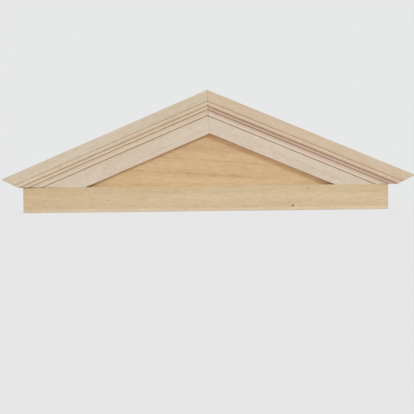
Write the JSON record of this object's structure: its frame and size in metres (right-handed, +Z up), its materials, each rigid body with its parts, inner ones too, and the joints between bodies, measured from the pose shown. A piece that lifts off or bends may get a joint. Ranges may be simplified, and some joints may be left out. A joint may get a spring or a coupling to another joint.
{
  "type": "door pediment",
  "caption": "Triangular dolls' house door pediment in bare wood: mitred raking mouldings over a plain base board, with a flat panel set back between them.",
  "frame": {"origin": "middle of the footprint, on the underside of the base board", "axes": "+X to the right along the board as seen from the moulded front, -Y out of that front, +Z up to the apex; the flat back is in the plane Y = +3.6 mm"},
  "size_m": [0.127, 0.0072, 0.0371],
  "materials": {
    "board_wood": "bare basswood, planed and sanded, unsealed",
    "moulding_wood": "bare basswood, milled, unsealed",
    "panel_wood": "bare basswood sheet of a warmer colour, sanded, unsealed"
  },
  "bodies": {
    "root": {"base_board": "board_wood", "raking_moulding_left": "moulding_wood", "raking_moulding_right": "moulding_wood", "tympanum_panel": "panel_wood"}
  },
  "joints": []
}
